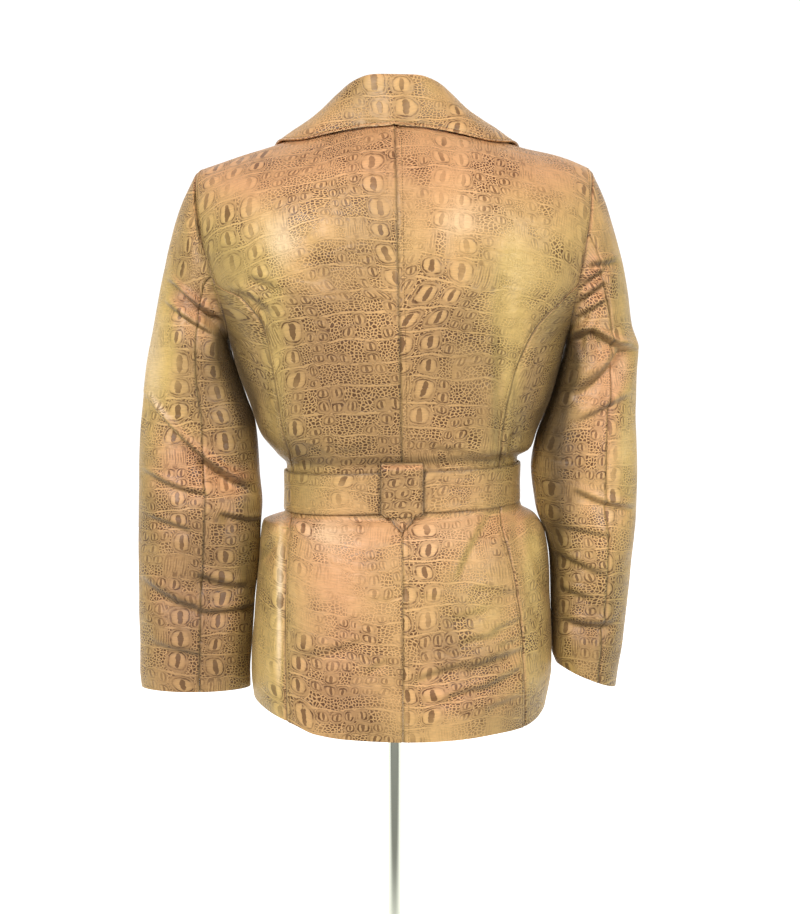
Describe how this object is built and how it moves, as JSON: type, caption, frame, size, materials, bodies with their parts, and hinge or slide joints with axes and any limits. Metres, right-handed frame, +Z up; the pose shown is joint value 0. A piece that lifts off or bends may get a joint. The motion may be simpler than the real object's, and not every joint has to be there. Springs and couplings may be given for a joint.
{
  "type": "belted summer jacket on a limbless dress form with a stand",
  "caption": "Fitted long-sleeved jacket with a wide shawl collar, a self belt and a back keeper tab, worn by a limbless dress form on a round-based pole.",
  "frame": {"origin": "on the floor, at the centre of the underside of the stand's round base", "axes": "+Z up along the pole, +X towards the wearer's right, -Y towards the back of the jacket"},
  "size_m": [0.552, 0.2764, 0.9869],
  "materials": {
    "jacquard": "satin",
    "form_cover": "matte",
    "chrome_pole": "polished",
    "buckle_horn": "satin",
    "base_paint": "satin"
  },
  "bodies": {
    "root": {"back_left": "jacquard", "back_right": "jacquard", "side_left": "jacquard", "side_right": "jacquard", "front_left": "jacquard", "front_right": "jacquard", "upper_sleeve_left": "jacquard", "under_sleeve_left": "jacquard", "upper_sleeve_right": "jacquard", "under_sleeve_right": "jacquard", "collar": "jacquard", "belt": "jacquard", "keeper_tab": "jacquard", "buckle_frame": "buckle_horn", "buckle_pin": "buckle_horn", "dress_form": "form_cover", "pole": "chrome_pole", "base": "base_paint"}
  },
  "joints": []
}
